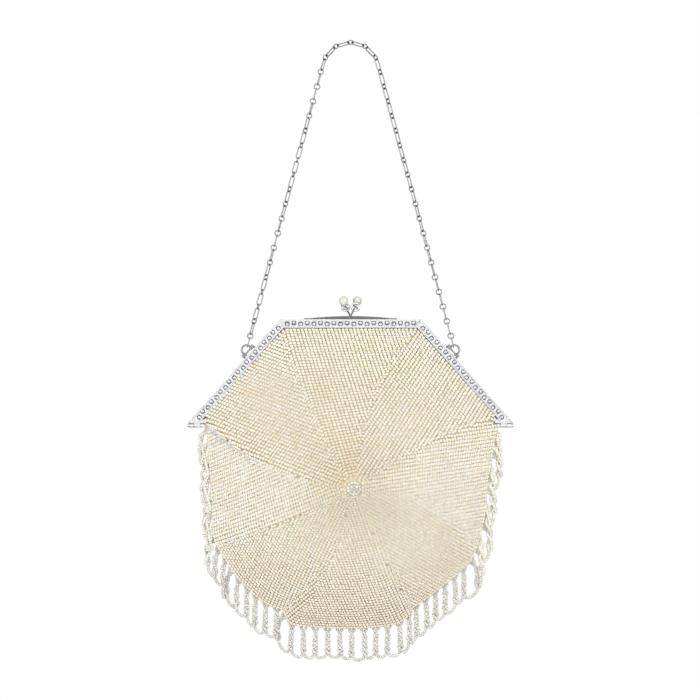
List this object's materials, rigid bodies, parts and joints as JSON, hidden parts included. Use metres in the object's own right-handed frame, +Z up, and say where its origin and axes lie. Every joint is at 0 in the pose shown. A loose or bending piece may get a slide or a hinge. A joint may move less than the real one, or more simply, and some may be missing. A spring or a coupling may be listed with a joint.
{
  "type": "evening bag",
  "caption": "Evening bag with a flat beaded pouch and bead fringe, hung from an octagonal opening frame with a kiss clasp and a fine link chain.",
  "frame": {"origin": "top of the round peg that carries the chain, midway across the bag, at the parting plane of the frame's two halves", "axes": "+Z up, +X to the right as seen from the front, front towards -Y"},
  "size_m": [0.1634, 0.0248, 0.3105],
  "materials": {
    "chain_metal": "polished white metal wire",
    "frame_metal": "polished white metal with cut decoration",
    "stones": "faceted, clear",
    "pearl": "soft lustre",
    "beadwork": "rows of small cream beads on cloth",
    "rosette_beads": "pale beads, soft lustre",
    "lining": "satin",
    "fringe_beads": "strung translucent beads"
  },
  "bodies": {
    "chain": {"chain_rings": "chain_metal", "chain_links": "chain_metal", "chain_end_links": "chain_metal"},
    "rear_frame": {"rear_frame": "frame_metal", "rear_clasp_spring": "frame_metal", "hinge_pin_left": "frame_metal", "hinge_pin_right": "frame_metal", "bail_pin_left": "frame_metal", "bail_pin_right": "frame_metal", "bail_lugs_left": "frame_metal", "bail_lugs_right": "frame_metal", "rear_panel": "beadwork", "rear_lining": "lining", "rear_rosette": "rosette_beads", "front_panel_lower": "beadwork", "front_lining_lower": "lining", "front_rosette": "rosette_beads", "fringe_left": "fringe_beads", "fringe_lower_left": "fringe_beads", "fringe_bottom": "fringe_beads", "fringe_lower_right": "fringe_beads", "fringe_right": "fringe_beads"},
    "front_frame": {"front_frame": "frame_metal", "front_clasp_spring": "frame_metal", "stones_bar": "stones", "stones_arm_left": "stones", "stones_arm_right": "stones", "front_panel_upper": "beadwork", "front_lining_upper": "lining"},
    "bail_left": {"bail_left": "frame_metal"},
    "bail_right": {"bail_right": "frame_metal"},
    "front_knob": {"front_knob_stem": "frame_metal", "front_knob_diamond": "stones", "front_knob_pearl": "pearl"},
    "rear_knob": {"rear_knob_stem": "frame_metal", "rear_knob_diamond": "stones", "rear_knob_pearl": "pearl"}
  },
  "joints": [
    {"name": "bag_swing", "type": "hinge", "parent": "chain", "child": "rear_frame", "pos_m": [0, 0, -0.1532], "axis": [1, 0, 0], "range_deg": [-30, 30]},
    {"name": "frame_open", "type": "hinge", "parent": "rear_frame", "child": "front_frame", "pos_m": [0, 0, -0.19034], "axis": [1, 0, 0], "range_deg": [0, 60], "deforming": ["front_panel_upper", "front_lining_upper"]},
    {"name": "bail_left_turn", "type": "hinge", "parent": "rear_frame", "child": "bail_left", "pos_m": [-0.0513, 0, -0.1532], "axis": [-0.663, 0, -0.7486], "range_deg": [-45, 45]},
    {"name": "bail_right_turn", "type": "hinge", "parent": "rear_frame", "child": "bail_right", "pos_m": [0.0513, 0, -0.1532], "axis": [-0.663, 0, 0.7486], "range_deg": [-45, 45]},
    {"name": "front_knob_rock", "type": "hinge", "parent": "front_frame", "child": "front_knob", "pos_m": [-0.00055, -0.0041, -0.13669], "axis": [0, 1, 0], "range_deg": [0, 8], "stiffness_Nm_per_rad": 0.003},
    {"name": "rear_knob_rock", "type": "hinge", "parent": "rear_frame", "child": "rear_knob", "pos_m": [0.00055, 0.0041, -0.13669], "axis": [0, -1, 0], "range_deg": [0, 8], "stiffness_Nm_per_rad": 0.003}
  ],
  "couplings": [
    {"joint": "bail_left_turn", "follows": "bag_swing", "ratio": 1.45},
    {"joint": "bail_right_turn", "follows": "bag_swing", "ratio": 1.45}
  ]
}
